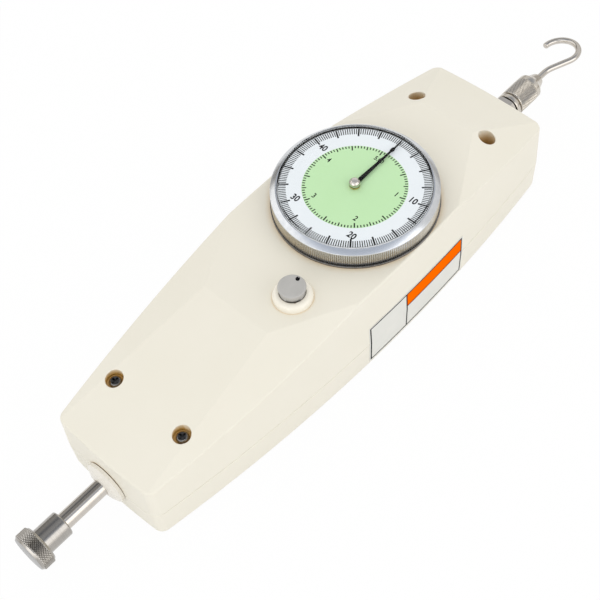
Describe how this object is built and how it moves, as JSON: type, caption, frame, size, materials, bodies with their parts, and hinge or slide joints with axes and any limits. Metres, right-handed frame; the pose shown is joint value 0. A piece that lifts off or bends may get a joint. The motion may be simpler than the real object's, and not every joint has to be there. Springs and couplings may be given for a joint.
{
  "type": "push-pull force gauge",
  "caption": "Ivory push-pull force gauge: faceted case, round dial in a turning bezel, flat push pad at one end and a hook at the other.",
  "frame": {"origin": "centre of the four rear stand inserts, on the case's flat back, under the dial's centre", "axes": "+X along the measuring shaft towards the hook, +Z out of the dial, the back's inserts open towards -Z"},
  "size_m": [0.2925, 0.0616, 0.054],
  "materials": {
    "case_ivory": "ivory moulded plastic, fine satin texture",
    "white_acetal": "off-white acetal, smooth",
    "knob_ivory": "glossy ivory plastic",
    "knob_grey": "light grey plastic",
    "polished_steel": "polished stainless steel",
    "turned_steel": "turned and knurled steel, nickel plated",
    "spring_steel": "drawn spring steel",
    "brass": "turned brass",
    "bezel_aluminium": "polished and serrated aluminium",
    "plain_aluminium": "milled aluminium",
    "black_steel": "blackened steel screws",
    "dial_paper": "white printed aluminium dial",
    "clear_acrylic": "clear acrylic",
    "seal_rubber": "black rubber",
    "pointer_black": "matt black enamel"
  },
  "bodies": {
    "case": {"top_case": "case_ivory", "bottom_case": "case_ivory", "case_screws": "black_steel", "case_inserts": "brass", "stand_inserts": "brass", "push_bushing": "white_acetal", "hook_bushing": "white_acetal", "spring_bracket": "plain_aluminium", "movement_plate": "brass", "standoffs": "brass", "plate_screws": "polished_steel", "bridge_plate": "brass", "bridge_pillars": "brass", "pivot_bushes": "brass", "hairspring": "spring_steel", "hairspring_stud": "brass", "bezel_seat": "plain_aluminium", "seat_screws": "polished_steel", "snap_ring": "spring_steel", "knob_collar": "knob_ivory", "pawl_post": "polished_steel", "main_spring": "spring_steel", "reset_spring": "spring_steel"},
    "shaft": {"measuring_shaft": "polished_steel", "push_pad": "turned_steel", "lock_nut": "polished_steel", "spring_collar": "brass", "rack_carrier": "plain_aluminium", "rack": "brass", "guide_pin": "polished_steel"},
    "hook": {"hook_holder": "turned_steel", "hook": "polished_steel"},
    "drive_arbor": {"gear_arbor": "polished_steel", "rack_pinion": "brass", "drive_gear": "brass"},
    "pointer": {"pointer_spindle": "polished_steel", "pointer_pinion": "brass", "pointer": "pointer_black", "pointer_boss": "brass", "pointer_hub": "polished_steel"},
    "bezel": {"bezel": "bezel_aluminium", "dial_plate": "dial_paper", "crystal_seal": "seal_rubber", "crystal": "clear_acrylic"},
    "knob_press": {"thrust_washer": "polished_steel"},
    "knob": {"mode_knob": "knob_grey", "knob_spindle": "polished_steel", "hold_cam": "white_acetal"},
    "pawl": {"peak_pawl": "polished_steel"}
  },
  "joints": [
    {"name": "shaft_slide", "type": "slide", "parent": "case", "child": "shaft", "axis": [1, 0, 0], "range_m": [0, 0.01], "stiffness_N_per_m": 5000, "deforming": ["main_spring"]},
    {"name": "hook_turn", "type": "hinge", "parent": "shaft", "child": "hook", "pos_m": [0.095, 0, 0.0143], "axis": [1, 0, 0], "range_deg": [-180, 180]},
    {"name": "arbor_turn", "type": "hinge", "parent": "case", "child": "drive_arbor", "pos_m": [-0.01175, 0, 0.026], "axis": [0, 0, 1], "range_deg": [0, 153.5]},
    {"name": "pointer_turn", "type": "hinge", "parent": "case", "child": "pointer", "pos_m": [0, 0, 0.04], "axis": [0, 0, 1], "range_deg": [-361, 0]},
    {"name": "bezel_turn", "type": "hinge", "parent": "case", "child": "bezel", "pos_m": [0, 0, 0.045], "axis": [0, 0, 1], "continuous": true},
    {"name": "knob_press", "type": "slide", "parent": "case", "child": "knob_press", "axis": [0, 0, -1], "range_m": [0, 0.0012], "stiffness_N_per_m": 800, "deforming": ["reset_spring"]},
    {"name": "knob_turn", "type": "hinge", "parent": "knob_press", "child": "knob", "pos_m": [-0.0437, -0.0111, 0.045], "axis": [0, 0, 1], "range_deg": [0, 90]},
    {"name": "pawl_swing", "type": "hinge", "parent": "case", "child": "pawl", "pos_m": [-0.056, -0.0172, 0.029], "axis": [0, 0, 1], "range_deg": [0, 6]}
  ],
  "couplings": [
    {"joint": "arbor_turn", "follows": "shaft_slide", "rad_per_m": 266.67},
    {"joint": "pointer_turn", "follows": "shaft_slide", "rad_per_m": -628.57},
    {"joint": "pawl_swing", "follows": "knob_turn", "ratio": 0.066667}
  ]
}
